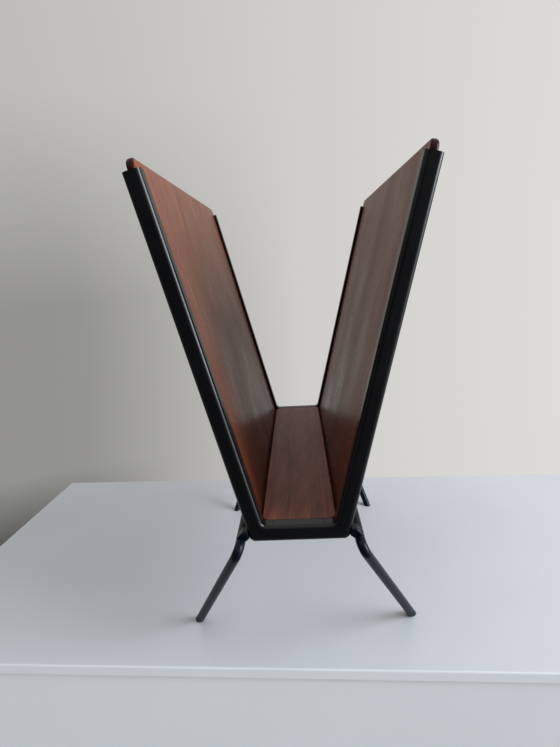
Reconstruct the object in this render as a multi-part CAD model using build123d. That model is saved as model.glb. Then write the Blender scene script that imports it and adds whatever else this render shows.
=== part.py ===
from build123d import *

import os
from math import atan2, cos, hypot, sin

# Magazine rack. Two plywood side panels lean outwards in a V and stand in the slots of two steel
# end frames. A plywood board closes the bottom of the V. A bent steel tube along each lower edge
# makes the front and the rear leg of that side.
#
# Millimetres. +Z is up, +Y runs from the front end frame to the rear one, +X is to the right.
# The origin is on the floor, midway between the four feet.

# ---- driving dimensions -------------------------------------------------------------------------

BODY_LENGTH = 440.0  # over the outer faces of the two end frames
FRAME_BOTTOM = 148.5  # underside of a crossbar
FRAME_TOP = 506.0  # outer top corner of an upright
BOTTOM_HALF_WIDTH = 49.6  # outer faces at the underside of the crossbar
TOP_HALF_WIDTH = 139.2  # outer faces at the top of the uprights

BAR_FACE = 17.0  # U channel of the end frames: width of its web
BAR_DEPTH = 14.0  # depth of its flanges
BAR_WALL = 3.5
BAR_EDGE_RADIUS = 4.5  # rounded long edges of the web
INNER_CORNER_RADIUS = 6.0  # where an upright's inner flange turns into the crossbar's
OUTER_CORNER_CUT = 3.0  # ground-off outer bottom corner
SEAM_X = 26.0  # butt seams between crossbar and uprights
SEAM_GROOVE = 0.5

PLY = 8.0  # thickness of the plywood
PANEL_CENTRE_IN = 9.0  # middle of a panel's thickness, square in from the upright's outer face
PANEL_ABOVE_CHANNEL = 12.0
PANEL_FOOT = 5.0  # start of the panel above the frame's underside, along the panel
PANEL_CORNER_RADIUS = 10.0
PANEL_TOP_ROUNDING = 3.0  # both long edges of a panel's top
BOARD_EDGE_EASING = 0.8

BOARD_HALF_WIDTH = 38.2
BOARD_END_GAP = 0.5  # between the board and the frames' flanges
BOARD_CORNER_RADIUS = 8.0

BRACKET_HALF_WIDTH = 20.0
BRACKET_THICKNESS = 2.0
BRACKET_REACH = 28.0  # how far a bracket reaches under the board

TUBE_RADIUS = 5.0
TUBE_WALL = 1.5
TUBE_X = 60.4  # centre line of the straight run under each lower edge
TUBE_Z = 148.0
KNEE_BEYOND_FRAME = 14.5  # where the run and a leg would meet, out past the frame's face
BEND_RADIUS = 8.0
FOOT_X = {"front": 129.5, "rear": 115.0}  # the rear legs spread less than the front ones
FOOT_Y = 140.5

GLIDE_HEIGHT = 2.5
GLIDE_STEM = 14.0
GLIDE_EDGE = 0.5

LUG_DEPTH = 13.0
LUG_LOW = 153.0  # heights where it meets the upright
LUG_HIGH = 160.5
LUG_EDGE_RADIUS = 1.5

SCREW_RADIUS = 1.75
SCREW_CLEARANCE = 0.25
SCREW_HEAD_RADIUS = 3.5
SCREW_HEAD_HEIGHT = 1.8
SCREW_HEAD_EDGE = 0.2  # rim of a countersunk head
SCREW_SLOT_WIDTH = 0.9
SCREW_SLOT_DEPTH = 0.7
SCREW_IN_WOOD = 6.0
PANEL_SCREW_FROM_FOOT = 70.0  # along the upright
PANEL_SCREW_FROM_TOP = 45.0
PANEL_SCREW_IN_DEPTH = 8.5  # behind the frame's outer face
BOARD_SCREW_X = 10.0
BOARD_SCREW_IN = 16.0  # from the end of the board

# ---- worked-out places --------------------------------------------------------------------------

HALF_LENGTH = BODY_LENGTH / 2
LEAN = atan2(TOP_HALF_WIDTH - BOTTOM_HALF_WIDTH, FRAME_TOP - FRAME_BOTTOM)
UPRIGHT_LENGTH = hypot(TOP_HALF_WIDTH - BOTTOM_HALF_WIDTH, FRAME_TOP - FRAME_BOTTOM)
CROSSBAR_TOP = FRAME_BOTTOM + BAR_FACE
BOARD_BOTTOM = CROSSBAR_TOP - PLY
BOARD_HALF_LENGTH = HALF_LENGTH - BAR_DEPTH - BOARD_END_GAP


def outer_x(z, inwards=0.0):
    """X of the right upright's outer face at height z, or of a line parallel to it further in."""
    spread = (TOP_HALF_WIDTH - BOTTOM_HALF_WIDTH) / (FRAME_TOP - FRAME_BOTTOM)
    return BOTTOM_HALF_WIDTH + (z - FRAME_BOTTOM) * spread - inwards / cos(LEAN)


def on_upright(along, inwards, y=0.0):
    """A point of the right side, given along its upright and square in from the outer face."""
    x = BOTTOM_HALF_WIDTH + along * sin(LEAN) - inwards * cos(LEAN)
    z = FRAME_BOTTOM + along * cos(LEAN) + inwards * sin(LEAN)
    return Vector(x, y, z)


def end_face_prism(points, y_from, y_to):
    """A solid with the given outline in X and Z, from y_from back to y_to."""
    outline = Polyline([(x, y_from, z) for x, z in points], close=True)
    return extrude(make_face(outline), amount=y_to - y_from, dir=(0, 1, 0))


def save(shape, node):
    export_step(shape, f"parts/{node}.step")


def to_corner(shape, side, end):
    """Copies a front right piece to any of the four corners."""
    if side == "left":
        shape = mirror(shape, about=Plane.YZ)
    if end == "rear":
        shape = mirror(shape, about=Plane.XZ)
    return shape


# ---- end frames ---------------------------------------------------------------------------------


def front_right_upright():
    """A channel with its slot facing the panel, folded at the foot to meet the crossbar."""
    front = -HALF_LENGTH
    top_outer = on_upright(UPRIGHT_LENGTH, 0)
    top_inner = on_upright(UPRIGHT_LENGTH, BAR_FACE)
    corner_top = FRAME_BOTTOM + OUTER_CORNER_CUT
    outline = [
        (SEAM_X, FRAME_BOTTOM),
        (BOTTOM_HALF_WIDTH - OUTER_CORNER_CUT, FRAME_BOTTOM),
        (outer_x(corner_top), corner_top),
        (top_outer.X, top_outer.Z),
        (top_inner.X, top_inner.Z),
        (outer_x(CROSSBAR_TOP, BAR_FACE), CROSSBAR_TOP),
        (SEAM_X, CROSSBAR_TOP),
    ]
    bar = end_face_prism(outline, front, front + BAR_DEPTH)
    inner_corner = [
        edge
        for edge in bar.edges().filter_by(Axis.Y)
        if abs(edge.center().X - outline[5][0]) < 0.01
        and abs(edge.center().Z - CROSSBAR_TOP) < 0.01
    ]
    bar = fillet(inner_corner, INNER_CORNER_RADIUS)
    face_edges = [
        edge
        for edge in bar.edges().group_by(Axis.Y)[0]
        if abs(edge.center().X - SEAM_X) > 0.01
    ]
    top_end = [
        edge
        for edge in face_edges
        if (edge.center() - (top_outer + top_inner) * 0.5 - Vector(0, front, 0)).length < 0.01
    ]
    bar = fillet([edge for edge in face_edges if edge not in top_end], BAR_EDGE_RADIUS)

    beyond = UPRIGHT_LENGTH + BAR_FACE
    slot_outer = on_upright(beyond, BAR_WALL)
    slot_inner = on_upright(beyond, BAR_FACE - BAR_WALL)
    slot_low = FRAME_BOTTOM + BAR_WALL
    slot_high = CROSSBAR_TOP - BAR_WALL
    slot = [
        (SEAM_X - BAR_WALL, slot_low),
        (outer_x(slot_low, BAR_WALL), slot_low),
        (slot_outer.X, slot_outer.Z),
        (slot_inner.X, slot_inner.Z),
        (outer_x(slot_high, BAR_FACE - BAR_WALL), slot_high),
        (SEAM_X - BAR_WALL, slot_high),
    ]
    return bar - end_face_prism(slot, front + BAR_WALL, front + BAR_DEPTH + BAR_WALL)


def front_crossbar():
    """The straight channel between the two folded feet, with a fine groove at each upper seam."""
    front = -HALF_LENGTH
    outline = [
        (-SEAM_X, FRAME_BOTTOM),
        (SEAM_X, FRAME_BOTTOM),
        (SEAM_X, CROSSBAR_TOP),
        (-SEAM_X, CROSSBAR_TOP),
    ]
    bar = end_face_prism(outline, front, front + BAR_DEPTH)
    bar = fillet(bar.edges().group_by(Axis.Y)[0].filter_by(Axis.X), BAR_EDGE_RADIUS)
    for side in (-1, 1):
        groove = [
            (side * SEAM_X, CROSSBAR_TOP),
            (side * SEAM_X, CROSSBAR_TOP - SEAM_GROOVE),
            (side * (SEAM_X - SEAM_GROOVE), CROSSBAR_TOP),
        ]
        bar -= end_face_prism(groove, front + BAR_EDGE_RADIUS, front + BAR_DEPTH)
    slot = Box(
        4 * SEAM_X,
        BAR_DEPTH,
        BAR_FACE - 2 * BAR_WALL,
        align=(Align.CENTER, Align.MIN, Align.CENTER),
    )
    return bar - Pos(0, front + BAR_WALL, FRAME_BOTTOM + BAR_FACE / 2) * slot


# ---- plywood ------------------------------------------------------------------------------------


def panel_plane(along, inwards, y=0.0):
    """A plane square across the right panel: X points outwards, Z up the panel."""
    outwards = Vector(cos(LEAN), 0, -sin(LEAN))
    upwards = Vector(sin(LEAN), 0, cos(LEAN))
    return Plane(origin=on_upright(along, inwards, y), x_dir=outwards, z_dir=upwards)


def panel_screw_places():
    """Where the right panel's screws enter the outer flange: (along the upright, y)."""
    heights = (PANEL_SCREW_FROM_FOOT, UPRIGHT_LENGTH - PANEL_SCREW_FROM_TOP)
    ends = (-1, 1)
    depth = HALF_LENGTH - PANEL_SCREW_IN_DEPTH
    return [(along, end * depth) for along in heights for end in ends]


def right_side_panel():
    height = UPRIGHT_LENGTH + PANEL_ABOVE_CHANNEL - PANEL_FOOT
    length = BODY_LENGTH - 2 * BAR_WALL
    blank = Box(PLY, length, height, align=(Align.CENTER, Align.CENTER, Align.MIN))
    top_corners = blank.edges().filter_by(Axis.X).group_by(Axis.Z)[-1]
    blank = fillet(top_corners, PANEL_CORNER_RADIUS)
    blank = fillet(blank.edges().filter_by(Axis.Y).group_by(Axis.Z)[-1], PANEL_TOP_ROUNDING)
    panel = panel_plane(PANEL_FOOT, PANEL_CENTRE_IN) * blank
    for along, y in panel_screw_places():
        panel -= into_flange(along, y) * upright_pin(SCREW_RADIUS, SCREW_REACH)
    return panel


def bottom_board():
    board = Box(
        2 * BOARD_HALF_WIDTH,
        2 * BOARD_HALF_LENGTH,
        PLY,
        align=(Align.CENTER, Align.CENTER, Align.MIN),
    )
    board = fillet(board.edges().filter_by(Axis.Z), BOARD_CORNER_RADIUS)
    board = fillet(board.edges().group_by(Axis.Z)[-1], BOARD_EDGE_EASING)
    board = Pos(0, 0, BOARD_BOTTOM) * board
    for x, y in board_screw_places():
        board -= Pos(x, y, BOARD_BOTTOM) * upright_pin(SCREW_RADIUS, SCREW_IN_WOOD)
    return board


# ---- board brackets and screws ------------------------------------------------------------------

# A panel screw passes the flange and the play beside the panel before it bites.
SCREW_REACH = PANEL_CENTRE_IN - PLY / 2 + SCREW_IN_WOOD


def upright_pin(radius, height):
    return Cylinder(radius, height, align=(Align.CENTER, Align.CENTER, Align.MIN))


def into_flange(along, y):
    """A plane on the right upright's outer face whose Z points square into it."""
    inwards = Vector(-cos(LEAN), 0, sin(LEAN))
    return Plane(origin=on_upright(along, 0, y), x_dir=(0, 1, 0), z_dir=inwards)


def board_screw_places():
    y = BOARD_HALF_LENGTH - BOARD_SCREW_IN
    return [(side * BOARD_SCREW_X, end * y) for side in (-1, 1) for end in (-1, 1)]


def front_board_bracket():
    """A flat strip welded inside the crossbar's slot, reaching under the board."""
    length = BAR_DEPTH - BAR_WALL + BRACKET_REACH
    strip = Box(
        2 * BRACKET_HALF_WIDTH,
        length,
        BRACKET_THICKNESS,
        align=(Align.CENTER, Align.MIN, Align.MAX),
    )
    free_corners = strip.edges().filter_by(Axis.Z).group_by(Axis.Y)[-1]
    strip = fillet(free_corners, BOARD_CORNER_RADIUS)
    strip = Pos(0, -HALF_LENGTH + BAR_WALL, BOARD_BOTTOM) * strip
    for x, y in board_screw_places():
        hole = upright_pin(SCREW_RADIUS + SCREW_CLEARANCE, BRACKET_THICKNESS)
        strip -= Pos(x, y, BOARD_BOTTOM - BRACKET_THICKNESS) * hole
    return strip


def screw_slot():
    return Box(
        4 * SCREW_HEAD_RADIUS,
        SCREW_SLOT_WIDTH,
        SCREW_SLOT_DEPTH,
        align=(Align.CENTER, Align.CENTER, Align.MIN),
    )


def round_head_screw(before_wood):
    """A slotted screw that points up +Z, with the underside of its round head at Z 0."""
    head = Cylinder(
        SCREW_HEAD_RADIUS,
        SCREW_HEAD_HEIGHT,
        align=(Align.CENTER, Align.CENTER, Align.MAX),
    )
    head = fillet(head.edges().group_by(Axis.Z)[0], SCREW_HEAD_HEIGHT * 0.8)
    head -= Pos(0, 0, -SCREW_HEAD_HEIGHT) * screw_slot()
    return head + upright_pin(SCREW_RADIUS, before_wood + SCREW_IN_WOOD)


def countersunk_head():
    """A flush head that points up +Z, with its flat face at Z 0."""
    rim = upright_pin(SCREW_HEAD_RADIUS, SCREW_HEAD_EDGE)
    cone = Cone(
        SCREW_HEAD_RADIUS,
        SCREW_RADIUS,
        SCREW_HEAD_HEIGHT,
        align=(Align.CENTER, Align.CENTER, Align.MIN),
    )
    return rim + Pos(0, 0, SCREW_HEAD_EDGE) * cone


def board_screws():
    screw = round_head_screw(BRACKET_THICKNESS)
    z = BOARD_BOTTOM - BRACKET_THICKNESS
    return [Pos(x, y, z) * screw for x, y in board_screw_places()]


def panel_screws():
    screw = countersunk_head() + upright_pin(SCREW_RADIUS, SCREW_REACH)
    screw -= screw_slot()
    right = [into_flange(along, y) * screw for along, y in panel_screw_places()]
    left = [mirror(shape, about=Plane.YZ) for shape in right]
    return right + left


# ---- legs ---------------------------------------------------------------------------------------

KNEE = Vector(TUBE_X, -HALF_LENGTH - KNEE_BEYOND_FRAME, TUBE_Z)
FLOOR_BLOCK = 1000.0


def foot(end):
    """The middle of a right foot on the floor, drawn as a front one."""
    return Vector(FOOT_X[end], -FOOT_Y, 0)


def past_foot(end):
    """A point under the floor, in line with the leg."""
    return foot(end) + (foot(end) - KNEE).normalized() * 4 * TUBE_RADIUS


def up_leg(end, start):
    """A plane square to a right leg, whose Z points up it."""
    return Plane(origin=start, z_dir=KNEE - foot(end))


def below(height):
    """Everything under a height, as one large block."""
    block = Box(
        FLOOR_BLOCK,
        FLOOR_BLOCK,
        FLOOR_BLOCK,
        align=(Align.CENTER, Align.CENTER, Align.MAX),
    )
    return Pos(0, 0, height) * block


def right_leg_tube():
    """One tube: front leg, bend, straight run along the lower edge, bend, rear leg."""
    rear_knee = Vector(KNEE.X, -KNEE.Y, KNEE.Z)
    front_end = past_foot("front")
    rear_end = past_foot("rear")
    rear_end = Vector(rear_end.X, -rear_end.Y, rear_end.Z)
    path = FilletPolyline([front_end, KNEE, rear_knee, rear_end], radius=BEND_RADIUS)
    start = up_leg("front", front_end)
    outside = sweep(start * Circle(TUBE_RADIUS), path=path)
    bore = sweep(start * Circle(TUBE_RADIUS - TUBE_WALL), path=path)
    return outside - bore - below(GLIDE_HEIGHT)


def right_glide(end):
    """A plastic foot: a flat pad as wide as the tube, and a stem pressed up its bore."""
    axis = up_leg(end, past_foot(end))
    length = 8 * TUBE_RADIUS
    pad = axis * upright_pin(TUBE_RADIUS, length)
    above = Pos(0, 0, GLIDE_HEIGHT + FLOOR_BLOCK) * below(0)
    pad = pad - below(0) - above
    pad = chamfer(pad.edges().group_by(Axis.Z)[0], GLIDE_EDGE)
    stem_start = foot(end) + axis.z_dir * TUBE_RADIUS
    stem = up_leg(end, stem_start) * upright_pin(TUBE_RADIUS - TUBE_WALL, GLIDE_STEM)
    root = axis * upright_pin(TUBE_RADIUS - TUBE_WALL, length / 2 + TUBE_RADIUS)
    root = root - below(GLIDE_HEIGHT / 2)
    return pad + root + stem


def front_right_lug():
    """A saddle between the frame's outer face and the top of the tube."""
    outline = [
        (outer_x(LUG_LOW), LUG_LOW),
        (outer_x(LUG_HIGH), LUG_HIGH),
        (TUBE_X - TUBE_RADIUS / 2, LUG_HIGH - 1),
        (TUBE_X + TUBE_RADIUS / 2, TUBE_Z + TUBE_RADIUS + 1),
        (TUBE_X + TUBE_RADIUS / 2, TUBE_Z),
        (TUBE_X - TUBE_RADIUS / 2, TUBE_Z),
    ]
    front = -HALF_LENGTH + (BAR_DEPTH - LUG_DEPTH) / 2
    lug = end_face_prism(outline, front, front + LUG_DEPTH)
    ends = lug.edges().group_by(Axis.Y)
    upper = [edge for edge in ends[0] + ends[-1] if edge.center().Z > LUG_HIGH - 5]
    lug = fillet(upper, LUG_EDGE_RADIUS)
    along_y = Rot(90, 0, 0) * Cylinder(TUBE_RADIUS, BODY_LENGTH)
    return lug - Pos(TUBE_X, -HALF_LENGTH, TUBE_Z) * along_y


# ---- all nodes ----------------------------------------------------------------------------------

os.makedirs("parts", exist_ok=True)

upright = front_right_upright()
for along, y in panel_screw_places():
    hole = countersunk_head() + upright_pin(SCREW_RADIUS + SCREW_CLEARANCE, BAR_WALL)
    upright -= into_flange(along, y) * hole
lug = front_right_lug()
for end in ("front", "rear"):
    glide = right_glide(end)
    for side in ("left", "right"):
        save(to_corner(upright, side, end), f"{end}_{side}_upright")
        save(to_corner(lug, side, end), f"{end}_{side}_lug")
        save(to_corner(glide, side, end), f"{end}_{side}_glide")
    save(to_corner(front_crossbar(), "right", end), f"{end}_crossbar")
    save(to_corner(front_board_bracket(), "right", end), f"{end}_board_bracket")

side_pieces = {"side_panel": right_side_panel(), "leg_tube": right_leg_tube()}
for side in ("left", "right"):
    for name, shape in side_pieces.items():
        save(to_corner(shape, side, "front"), f"{side}_{name}")

save(bottom_board(), "bottom_board")
save(Compound(children=board_screws()), "board_screws")
save(Compound(children=panel_screws()), "panel_screws")
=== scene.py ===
from itertools import product
from math import atan2, cos, pi, radians, sin

import bpy
from mathutils import Matrix, Vector


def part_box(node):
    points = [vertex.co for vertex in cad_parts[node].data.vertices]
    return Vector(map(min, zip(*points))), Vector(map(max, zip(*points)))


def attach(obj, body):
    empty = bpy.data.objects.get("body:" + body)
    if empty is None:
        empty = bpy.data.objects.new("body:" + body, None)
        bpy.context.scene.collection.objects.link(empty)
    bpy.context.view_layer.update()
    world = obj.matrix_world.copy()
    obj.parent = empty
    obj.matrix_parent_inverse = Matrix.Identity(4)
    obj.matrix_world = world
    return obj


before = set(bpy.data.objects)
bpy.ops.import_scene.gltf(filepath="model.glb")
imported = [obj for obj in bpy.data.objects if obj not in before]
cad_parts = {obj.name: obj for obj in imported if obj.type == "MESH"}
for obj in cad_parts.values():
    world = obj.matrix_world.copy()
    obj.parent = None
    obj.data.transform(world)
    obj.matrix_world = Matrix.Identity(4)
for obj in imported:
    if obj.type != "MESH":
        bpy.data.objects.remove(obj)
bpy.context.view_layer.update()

# ---- places read from the frame -----------------------------------------------------------------

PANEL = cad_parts["right_side_panel"]
PANEL_FACE = max(PANEL.data.polygons, key=lambda face: face.area).normal
LEAN = atan2(abs(PANEL_FACE.z), abs(PANEL_FACE.x))
PANEL_LOW, PANEL_HIGH = (Vector(corner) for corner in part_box("right_side_panel"))
BOARD_HALF_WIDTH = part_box("bottom_board")[1][0]
ENDS = ("front", "rear")
SIDES = ("left", "right")

# ---- node trees ---------------------------------------------------------------------------------


class Nodes:
    """A node tree with one short call that adds a node, fills its inputs and returns its output."""

    def __init__(self, tree):
        self.tree = tree
        tree.nodes.clear()

    def add(self, kind, inputs=None, output=0, **settings):
        node = self.tree.nodes.new(kind)
        for name, value in settings.items():
            setattr(node, name, value)
        for name, value in (inputs or {}).items():
            if isinstance(value, bpy.types.NodeSocket):
                self.tree.links.new(value, node.inputs[name])
            else:
                node.inputs[name].default_value = value
        return node.outputs[output] if node.outputs else None

    def math(self, operation, a, b=0.0, clamp=False):
        return self.add("ShaderNodeMath", {0: a, 1: b}, operation=operation, use_clamp=clamp)

    def stretch(self, vector, x, y, z):
        factors = {0: vector, 1: (x, y, z)}
        return self.add("ShaderNodeVectorMath", factors, operation="MULTIPLY")

    def noise(self, vector, detail=2.0, roughness=0.5, distortion=0.0):
        inputs = {"Vector": vector, "Scale": 1.0, "Detail": detail, "Roughness": roughness}
        inputs["Distortion"] = distortion
        return self.add("ShaderNodeTexNoise", inputs)

    def remap(self, value, low, high, to_low=0.0, to_high=1.0):
        inputs = {"Value": value, "From Min": low, "From Max": high}
        inputs.update({"To Min": to_low, "To Max": to_high})
        return self.add("ShaderNodeMapRange", inputs)

    def blend(self, factor, a, b, mode="MIX"):
        inputs = {0: factor, 6: a, 7: b}
        return self.add("ShaderNodeMix", inputs, output=2, data_type="RGBA", blend_type=mode)

    def ramp(self, value, stops):
        node = self.add("ShaderNodeValToRGB", {"Fac": value}).node
        elements = node.color_ramp.elements
        while len(elements) < len(stops):
            elements.new(0.5)
        for element, (place, colour) in zip(elements, stops):
            element.position = place
            element.color = (*colour, 1)
        return node.outputs[0]

    def bump(self, height, strength, distance):
        inputs = {"Height": height, "Strength": strength, "Distance": distance}
        return self.add("ShaderNodeBump", inputs)

    def surface(self, **inputs):
        named = {name.replace("_", " "): value for name, value in inputs.items()}
        shader = self.add("ShaderNodeBsdfPrincipled", named)
        self.add("ShaderNodeOutputMaterial", {"Surface": shader})


def new_material(name):
    material = bpy.data.materials.new(name)
    material.use_nodes = True
    return material, Nodes(material.node_tree)


def paint(node_names, material):
    for name in node_names:
        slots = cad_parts[name].material_slots
        for slot in slots:
            slot.material = material


# ---- wood ---------------------------------------------------------------------------------------

SIDE_COLOURS = [
    (0.32, (0.138, 0.051, 0.028)),
    (0.44, (0.200, 0.078, 0.043)),
    (0.54, (0.250, 0.102, 0.058)),
    (0.68, (0.310, 0.136, 0.079)),
]
BOARD_COLOURS = [
    (0.32, (0.135, 0.047, 0.031)),
    (0.44, (0.190, 0.069, 0.046)),
    (0.54, (0.235, 0.090, 0.060)),
    (0.68, (0.290, 0.119, 0.080)),
]
EDGE_COLOURS = [(0.25, (0.016, 0.004, 0.003)), (0.75, (0.060, 0.014, 0.009))]
# painted light: warmer, redder rims that stand in for the weaker sheen near the front edge
PAINTED_RIM_TINT = (1.06, 0.52, 0.34, 1)
# painted shade: the darker foot of a side
PAINTED_FOOT_SHADE = (0.62, 0.36, 0.32, 1)
FOOT_SHADE_FADE = 0.09  # height over which the painted shade at the foot of a side fades out
NO_FOOT_SHADE = -1.0  # below everything, so that a sheet with this foot has no darker end of painted shade
PLY_WAVES = 2 * pi / 0.0016  # one light and one dark ply every 1.6 mm


def wood(name, grain, face_normal, seed, colours, zones):
    """Lacquered veneer. grain turns object space into (through, across, along the grain)."""
    material, n = new_material(name)
    place = n.add("ShaderNodeTexCoord", output="Object")
    place = n.add("ShaderNodeVectorRotate", {"Vector": place, "Angle": grain["turn"]},
                  rotation_type="Y_AXIS")
    through, across, along = (
        n.add("ShaderNodeSeparateXYZ", {0: place}, output=axis) for axis in grain["axes"]
    )
    offset = n.math("ADD", across, seed)
    space = n.add("ShaderNodeCombineXYZ", {0: through, 1: offset, 2: along})

    drift = n.noise(n.stretch(space, 3, 8, 2.5), detail=2)
    wander = n.add("ShaderNodeCombineXYZ", {1: n.remap(drift, 0, 1, -0.022, 0.022)})
    space = n.add("ShaderNodeVectorMath", {0: space, 1: wander}, operation="ADD")

    bands = n.noise(n.stretch(space, 20, 42, 1.3), detail=5, roughness=0.62)
    streaks = n.noise(n.stretch(space, 120, 330, 6), detail=4, roughness=0.6)
    fibres = n.noise(n.stretch(space, 500, 1500, 42), detail=3, roughness=0.6)
    pores = n.noise(n.stretch(space, 900, 2600, 150), detail=2)
    flecks = n.noise(n.stretch(space, 700, 700, 380), detail=2)
    ring_across, ring_along = grain["rings"]
    ring_centre = n.add("ShaderNodeCombineXYZ", {1: ring_across + seed, 2: ring_along})
    from_centre = n.add("ShaderNodeVectorMath", {0: space, 1: ring_centre}, operation="SUBTRACT")
    rings = n.add(
        "ShaderNodeTexWave",
        {"Vector": n.stretch(from_centre, 0, 1, 0.16), "Scale": 26.0, "Distortion": 5.5,
         "Detail": 3.0, "Detail Scale": 2.0, "Detail Roughness": 0.62},
        wave_type="RINGS", rings_direction="X", output=1,
    )

    tone = n.math("ADD", n.math("MULTIPLY", bands, 0.50), n.math("MULTIPLY", streaks, 0.30))
    tone = n.math("ADD", tone, n.math("MULTIPLY", fibres, 0.20))
    veneer = n.ramp(tone, colours)
    shade = n.remap(n.math("POWER", rings, 2.0), 0, 1, 1.04, 0.86)
    shade = n.math("MULTIPLY", shade, n.remap(streaks, 0.3, 0.7, 0.92, 1.07))
    shade = n.math("MULTIPLY", shade, n.remap(fibres, 0.3, 0.7, 0.86, 1.12))
    pore_mask = n.remap(pores, 0.62, 0.70)
    shade = n.math("MULTIPLY", shade, n.remap(pore_mask, 0, 1, 1.0, 0.66))
    shade = n.math("MULTIPLY", shade, n.remap(n.remap(flecks, 0.64, 0.72), 0, 1, 1.0, 0.82))
    grey = n.add("ShaderNodeCombineColor", {0: shade, 1: shade, 2: shade})
    veneer = n.blend(1.0, veneer, grey, "MULTIPLY")

    # Painted light: the sheet's base colour is made warmer along its rims, mostly the front one,
    # standing in for the weaker sheen there, and darker towards its foot, standing in for the shade
    # at the bottom of the V.
    rim_noise = n.math("MULTIPLY", n.remap(streaks, 0.3, 0.7, -1, 1), 0.010)
    from_front = n.math("ADD", zones["half_width"], across)
    from_rear = n.math("SUBTRACT", zones["half_width"], across)
    from_rear = n.math("MULTIPLY", from_rear, zones["rear"])
    from_rim = n.math("MINIMUM", from_front, from_rear)
    painted_rim = n.remap(n.math("ADD", from_rim, rim_noise), zones["reach"], 0.0)
    veneer = n.blend(n.math("MULTIPLY", painted_rim, zones["strength"]), veneer, PAINTED_RIM_TINT, "MULTIPLY")
    # painted shade, darker towards the foot of the sheet
    foot = n.remap(along, zones["foot"] + FOOT_SHADE_FADE, zones["foot"])
    veneer = n.blend(n.math("MULTIPLY", foot, 0.8), veneer, PAINTED_FOOT_SHADE, "MULTIPLY")

    normal = n.add("ShaderNodeNewGeometry", output="Normal")
    facing = n.add("ShaderNodeVectorMath", {0: normal, 1: face_normal}, operation="DOT_PRODUCT",
                   output="Value")
    on_edge = n.remap(n.math("ABSOLUTE", facing), 0.96, 0.80)
    plies = n.math("SINE", n.math("MULTIPLY", through, PLY_WAVES))
    end_grain = n.noise(n.stretch(space, 900, 900, 900), detail=3)
    edge_tone = n.math("ADD", n.math("MULTIPLY", n.remap(plies, -1, 1), 0.35),
                       n.math("MULTIPLY", end_grain, 0.65))
    edge = n.ramp(edge_tone, EDGE_COLOURS)
    colour = n.blend(on_edge, veneer, edge)

    smudges = n.noise(n.stretch(space, 14, 14, 10), detail=3)
    roughness = n.math("ADD", n.remap(smudges, 0.3, 0.7, 0.24, 0.34),
                       n.math("MULTIPLY", pore_mask, 0.12))
    height = n.math("SUBTRACT", n.math("MULTIPLY", fibres, 0.5), n.math("MULTIPLY", pore_mask, 0.5))
    n.surface(
        Base_Color=colour,
        Roughness=roughness,
        IOR=1.30,
        Normal=n.bump(height, 0.3, 0.0004),
    )
    return material


def wood_materials():
    for side, sign in (("left", -1), ("right", 1)):
        grain = {"turn": -sign * LEAN, "axes": "XYZ", "rings": (0.05 * sign, 0.27 + 0.09 * sign)}
        normal = (cos(LEAN), 0, -sign * sin(LEAN))
        zones = {
            "half_width": PANEL_HIGH.y,
            "reach": 0.065,
            "strength": 0.6 - 0.25 * sign,
            "rear": 4.0,
            "foot": PANEL_LOW.z * cos(LEAN) + PANEL_LOW.x * sin(LEAN),
        }
        material = wood(f"{side}_veneer", grain, normal, 0.37 * sign, SIDE_COLOURS, zones)
        paint([f"{side}_side_panel"], material)
    grain = {"turn": 0.0, "axes": "ZXY", "rings": (0.05, -0.5)}
    zones = {
        "half_width": BOARD_HALF_WIDTH,
        "reach": 0.012,
        "strength": 0.4,
        "rear": 1.0,
        "foot": NO_FOOT_SHADE,
    }
    paint(["bottom_board"], wood("board_veneer", grain, (0, 0, 1), 1.9, BOARD_COLOURS, zones))


# ---- metal and plastic --------------------------------------------------------------------------

FRAME_BLACK = (0.0085, 0.0090, 0.0105)
LEG_BLACK = (0.0015, 0.0065, 0.0135)
DUST_GAIN = 2.0
WORN_COLOUR = (0.030, 0.029, 0.028, 1)
SPECK_COLOUR = (0.16, 0.15, 0.14, 1)
PLASTIC_COLOURS = [(0.4, (0.010, 0.010, 0.011)), (0.7, (0.035, 0.034, 0.033))]
STEEL_COLOURS = [(0.35, (0.16, 0.14, 0.12)), (0.65, (0.42, 0.40, 0.37))]


def lacquer(name, colour, rough, peel, ior):
    """Black lacquer: slight orange peel, rubbed and dusty patches, fine scratches, tiny specks."""
    material, n = new_material(name)
    place = n.add("ShaderNodeTexCoord", output="Object")
    patches = n.noise(n.stretch(place, 24, 24, 24), detail=4, roughness=0.6)
    scratches = n.noise(n.stretch(place, 900, 900, 30), detail=3, roughness=0.7)
    peel_height = n.noise(n.stretch(place, 420, 420, 420), detail=2)
    specks = n.noise(n.stretch(place, 1300, 1300, 1300), detail=1)
    speck_mask = n.remap(specks, 0.745, 0.78)
    worn = n.math("MULTIPLY", n.remap(scratches, 0.62, 0.72), n.remap(patches, 0.48, 0.62))
    dust = n.remap(patches, 0.48, 0.75, 0.0, 0.4)
    dusty = tuple(DUST_GAIN * part for part in colour)
    base = n.blend(dust, (*colour, 1), (*dusty, 1))
    base = n.blend(n.math("MULTIPLY", worn, 0.35), base, WORN_COLOUR)
    base = n.blend(n.math("MULTIPLY", speck_mask, 0.5), base, SPECK_COLOUR)
    roughness = n.math("ADD", n.remap(patches, 0.3, 0.7, *rough), n.math("MULTIPLY", worn, 0.12))
    n.surface(
        Base_Color=base,
        Roughness=roughness,
        IOR=ior,
        Normal=n.bump(peel_height, peel, 0.0003),
    )
    return material


def glide_plastic():
    material, n = new_material("glide_plastic")
    place = n.add("ShaderNodeTexCoord", output="Object")
    grain = n.noise(n.stretch(place, 1800, 1800, 1800), detail=2)
    scuffs = n.noise(n.stretch(place, 260, 260, 60), detail=4)
    base = n.ramp(scuffs, PLASTIC_COLOURS)
    n.surface(Base_Color=base, Roughness=n.remap(scuffs, 0.3, 0.7, 0.5, 0.7),
              Normal=n.bump(grain, 0.3, 0.0002))
    return material


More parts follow.
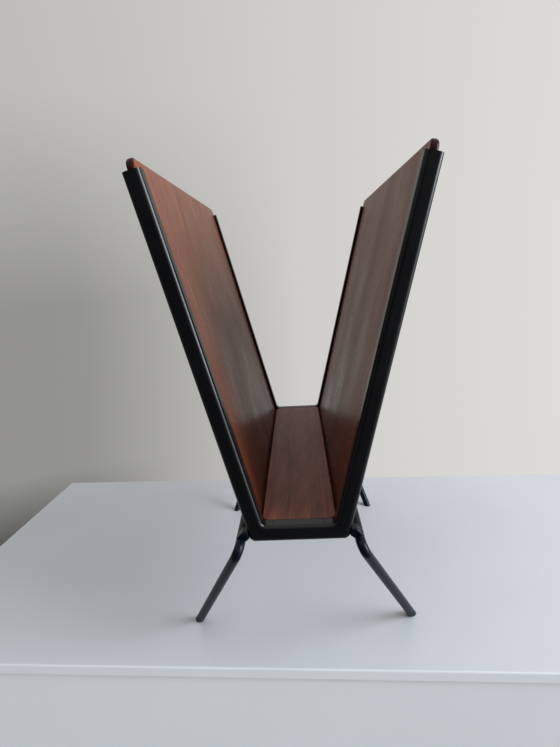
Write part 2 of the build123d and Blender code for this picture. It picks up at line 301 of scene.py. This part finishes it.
def screw_steel():
    material, n = new_material("screw_steel")
    place = n.add("ShaderNodeTexCoord", output="Object")
    turned = n.noise(n.stretch(place, 900, 900, 2400), detail=3)
    tarnish = n.noise(n.stretch(place, 300, 300, 300), detail=3)
    base = n.ramp(tarnish, STEEL_COLOURS)
    n.surface(Base_Color=base, Metallic=1.0, Roughness=n.remap(tarnish, 0.3, 0.7, 0.3, 0.5),
              Normal=n.bump(turned, 0.2, 0.0001))
    return material


def metal_materials():
    corners = [f"{end}_{side}" for end in ENDS for side in SIDES]
    frames = [f"{corner}_upright" for corner in corners]
    frames += [f"{end}_{piece}" for end in ENDS for piece in ("crossbar", "board_bracket")]
    paint(frames, lacquer("frame_lacquer", FRAME_BLACK, (0.13, 0.22), 0.06, 1.5))
    legs = [f"{corner}_lug" for corner in corners] + ["left_leg_tube", "right_leg_tube"]
    leg_lacquer = lacquer("leg_lacquer", LEG_BLACK, (0.26, 0.36), 0.08, 1.36)
    paint(legs, leg_lacquer)
    paint([f"{corner}_glide" for corner in corners], glide_plastic())
    paint(["board_screws", "panel_screws"], screw_steel())
    return leg_lacquer


# ---- weld beads ---------------------------------------------------------------------------------

BEAD_RADIUS = 0.0014
RIPPLE_LENGTH = 0.0016
RINGS_PER_RIPPLE = 4
BEAD_SIDES = 12


def weld_bead(name, start, stop, material):
    """A rippled bead along a straight seam, thinner at its two ends."""
    start, stop = Vector(start), Vector(stop)
    along = stop - start
    count = round(along.length / RIPPLE_LENGTH) * RINGS_PER_RIPPLE
    side = along.orthogonal().normalized()
    other = along.normalized().cross(side)
    points = []
    for ring in range(count + 1):
        share = ring / count
        ripple = abs(sin(pi * ring / RINGS_PER_RIPPLE))
        taper = min(1.0, (4 * share * (1 - share)) ** 0.5 + 0.05)
        radius = BEAD_RADIUS * taper * (0.82 + 0.18 * ripple)
        for step in range(BEAD_SIDES):
            angle = 2 * pi * step / BEAD_SIDES
            points.append(start + along * share + (side * cos(angle) + other * sin(angle)) * radius)
    faces = []
    for ring in range(count):
        for step in range(BEAD_SIDES):
            after = (step + 1) % BEAD_SIDES
            low = ring * BEAD_SIDES
            high = low + BEAD_SIDES
            faces.append((low + step, low + after, high + after, high + step))
    faces.append(tuple(reversed(range(BEAD_SIDES))))
    faces.append(tuple(range(count * BEAD_SIDES, (count + 1) * BEAD_SIDES)))
    mesh = bpy.data.meshes.new(name)
    mesh.from_pydata(points, [], faces)
    mesh.shade_smooth()
    mesh.materials.append(material)
    bead = bpy.data.objects.new(name, mesh)
    bpy.context.collection.objects.link(bead)
    subdivision = bead.modifiers.new("smooth", "SUBSURF")
    subdivision.levels = 1
    subdivision.render_levels = 1
    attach(bead, "root")


def weld_beads(material):
    """On each lug, one bead where it meets the upright and one where it meets the tube."""
    for corner in (f"{end}_{side}" for end in ENDS for side in SIDES):
        points = [vertex.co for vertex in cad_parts[f"{corner}_lug"].data.vertices]
        low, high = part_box(f"{corner}_lug")
        reach = max(abs(point.x) for point in points)
        farthest = [point for point in points if abs(point.x) > reach - BEAD_RADIUS / 10]
        at_upright = max(points, key=lambda point: point.z)
        at_tube = min(farthest, key=lambda point: point.z)
        for seam, place in (("upright", at_upright), ("tube", at_tube)):
            ends = [(place.x, y, place.z) for y in (low[1], high[1])]
            weld_bead(f"{corner}_{seam}_weld", *ends, material)


# ---- stage --------------------------------------------------------------------------------------

TABLE_BACK = 0.263
TABLE_FRONT = -0.222
TABLE_LEFT = -0.4935
TABLE_RIGHT = 1.1
TABLE_TURN = radians(-2.8)
TABLE_THICKNESS = 0.014
TOP_EDGE = 0.002
BODY_DEPTH = 0.5
BODY_SET_BACK = 0.003
BODY_EDGE = 0.001
TABLE_COLOURS = [(0.3, (0.60, 0.63, 0.67)), (0.7, (0.64, 0.67, 0.71))]
GLOW_COLOUR = (0.66, 0.67, 0.66, 1)
FRONT_GLOW = 0.34  # stands in for the light of the room on the faces towards the camera


def slab(name, low, high, edge, material):
    """A block with softened edges between two corners."""
    corners = list(product(*zip(low, high)))
    faces = [(0, 1, 3, 2), (4, 6, 7, 5), (0, 4, 5, 1), (2, 3, 7, 6), (0, 2, 6, 4), (1, 5, 7, 3)]
    mesh = bpy.data.meshes.new(name)
    mesh.from_pydata(corners, [], faces)
    block = bpy.data.objects.new(name, mesh)
    block.rotation_euler.z = TABLE_TURN
    bpy.context.collection.objects.link(block)
    bevel = block.modifiers.new("edge", "BEVEL")
    bevel.width = edge
    bevel.segments = 3
    mesh.materials.append(material)


def table():
    """A pale table that the rack stands on, close to its front edge."""
    material, n = new_material("table_paint")
    place = n.add("ShaderNodeTexCoord", output="Object")
    cloud = n.noise(n.stretch(place, 3, 3, 3), detail=3)
    roller = n.noise(n.stretch(place, 500, 500, 500), detail=2)
    base = n.ramp(cloud, TABLE_COLOURS)
    normal = n.add("ShaderNodeNewGeometry", output="Normal")
    towards_room = n.add("ShaderNodeSeparateXYZ", {0: normal}, output=1)
    glow = n.remap(towards_room, -0.3, -0.9, 0.0, FRONT_GLOW)
    n.surface(Base_Color=base, Roughness=0.42, Normal=n.bump(roller, 0.05, 0.0004),
              Emission_Color=GLOW_COLOUR, Emission_Strength=glow)
    low = (TABLE_LEFT, TABLE_FRONT, -TABLE_THICKNESS)
    slab("table_top", low, (TABLE_RIGHT, TABLE_BACK, 0), TOP_EDGE, material)
    inset = BODY_SET_BACK
    low = (TABLE_LEFT + inset, TABLE_FRONT + inset, -TABLE_THICKNESS - BODY_DEPTH)
    high = (TABLE_RIGHT - inset, TABLE_BACK - inset, -TABLE_THICKNESS)
    slab("table_body", low, high, BODY_EDGE, material)


# ---- light --------------------------------------------------------------------------------------

DOOR_DIRECTION = (0.94, -0.28, 0.20)  # where the brightest part of the room is
DOOR_LIGHT = (3.3, 3.6, 4.0, 1)
CEILING_LEVEL = 0.80
ROOM_TINT = (1.0, 0.985, 0.955, 1)
BACKDROP_TINT = (1.0, 0.99, 0.955, 1)
WINDOW_PLACE = (1.7, -0.6, 1.0)
WINDOW_TARGET = (0, 0, 0.3)
WINDOW_SIZE = (1.1, 1.3)
WINDOW_POWER = 28
WINDOW_COLOUR = (0.96, 0.98, 1.0)


def tinted(n, level, tint):
    grey = n.add("ShaderNodeCombineColor", {0: level, 1: level, 2: level})
    return n.blend(1.0, tint, grey, "MULTIPLY")


def room_light():
    """A pale wall ahead, a bright door to the right, a ceiling, and a dark spot at the camera."""
    world = bpy.data.worlds.new("room")
    bpy.context.scene.world = world
    world.use_nodes = True
    n = Nodes(world.node_tree)
    direction = n.add("ShaderNodeTexCoord", output="Generated")
    x, y, z = (n.add("ShaderNodeSeparateXYZ", {0: direction}, output=axis) for axis in range(3))
    ahead = n.remap(y, 0.30, 0.75)
    to_right = n.remap(x, -0.9, 0.9)
    up = n.remap(z, 0.15, 0.85)
    sides = n.remap(to_right, 0, 1, 0.20, 0.34)
    dark = n.math("MULTIPLY", n.remap(y, -0.60, -0.90), n.remap(x, 0.45, 0.05))
    behind = n.math("MULTIPLY", sides, n.remap(dark, 0, 1, 1.0, 0.18))
    behind = n.math("MULTIPLY", n.math("SUBTRACT", 1.0, ahead), behind)
    wall = n.math("MULTIPLY", n.remap(to_right, 0, 1, 0.92, 1.08),
                  n.remap(z, -0.04, -0.20, 0.42, 0.58))
    level = n.math("ADD", n.math("MULTIPLY", ahead, wall), behind)
    level = n.math("MULTIPLY", level, n.math("SUBTRACT", 1.0, up))
    level = n.math("ADD", level, n.math("MULTIPLY", up, CEILING_LEVEL))
    towards = n.add("ShaderNodeVectorMath", {0: direction, 1: DOOR_DIRECTION},
                    operation="DOT_PRODUCT", output="Value")
    door = n.remap(towards, 0.82, 0.95)
    room = n.blend(door, tinted(n, level, ROOM_TINT), DOOR_LIGHT)

    # What is seen behind the rack: lighter to the right, with a soft shadow low on the left.
    shown = n.remap(x, -0.45, 0.45, 0.56, 0.76)
    shade = n.math("MULTIPLY", n.remap(x, 0.0, -0.4), n.remap(z, 0.3, -0.05))
    shown = n.math("MULTIPLY", shown, n.remap(shade, 0, 1, 1.0, 0.62))
    under = n.math("MULTIPLY", n.remap(x, -0.25, -0.45), n.remap(z, -0.34, -0.44))
    under = n.math("MULTIPLY", under, n.remap(y, 0.40, 0.65))
    shown = n.math("MULTIPLY", shown, n.remap(under, 0, 1, 1.0, 0.35))

    seen = n.add("ShaderNodeLightPath", output="Is Camera Ray")
    colour = n.blend(seen, room, tinted(n, shown, BACKDROP_TINT))
    light = n.add("ShaderNodeBackground", {"Color": colour, "Strength": 1.0})
    n.add("ShaderNodeOutputWorld", {"Surface": light})


def window_light():
    data = bpy.data.lights.new("window", "AREA")
    data.shape = "RECTANGLE"
    data.size, data.size_y = WINDOW_SIZE
    data.energy = WINDOW_POWER
    data.color = WINDOW_COLOUR
    light = bpy.data.objects.new("window", data)
    aim = Vector(WINDOW_TARGET) - Vector(WINDOW_PLACE)
    light.location = WINDOW_PLACE
    light.rotation_euler = aim.to_track_quat("-Z", "Y").to_euler()
    bpy.context.collection.objects.link(light)


# ---- camera -------------------------------------------------------------------------------------

CAMERA_PLACE = (0.0080, -0.6756, 0.4198)
CAMERA_PITCH = radians(12.13)
CAMERA_YAW = radians(-2.36)
CAMERA_ROLL = radians(-3.16)
FOCAL_LENGTH = 24.1
SENSOR_WIDTH = 36.0


def camera():
    data = bpy.data.cameras.new("camera")
    data.lens = FOCAL_LENGTH
    data.sensor_width = SENSOR_WIDTH
    data.clip_start = 0.01
    holder = bpy.data.objects.new("camera", data)
    ahead = Vector((sin(CAMERA_YAW) * cos(CAMERA_PITCH), cos(CAMERA_YAW) * cos(CAMERA_PITCH),
                    -sin(CAMERA_PITCH)))
    right = Vector((cos(CAMERA_YAW), -sin(CAMERA_YAW), 0))
    up = right.cross(ahead)
    turned_right = right * cos(CAMERA_ROLL) + up * sin(CAMERA_ROLL)
    turned_up = up * cos(CAMERA_ROLL) - right * sin(CAMERA_ROLL)
    turn = Matrix((turned_right, turned_up, -ahead)).transposed()
    holder.matrix_world = Matrix.Translation(CAMERA_PLACE) @ turn.to_4x4()
    bpy.context.collection.objects.link(holder)
    bpy.context.scene.camera = holder


# ---- the scene ----------------------------------------------------------------------------------

camera()
wood_materials()
weld_beads(metal_materials())
table()
room_light()
window_light()

bpy.context.scene.view_settings.view_transform = "Standard"
bpy.context.scene.view_settings.gamma = 0.85
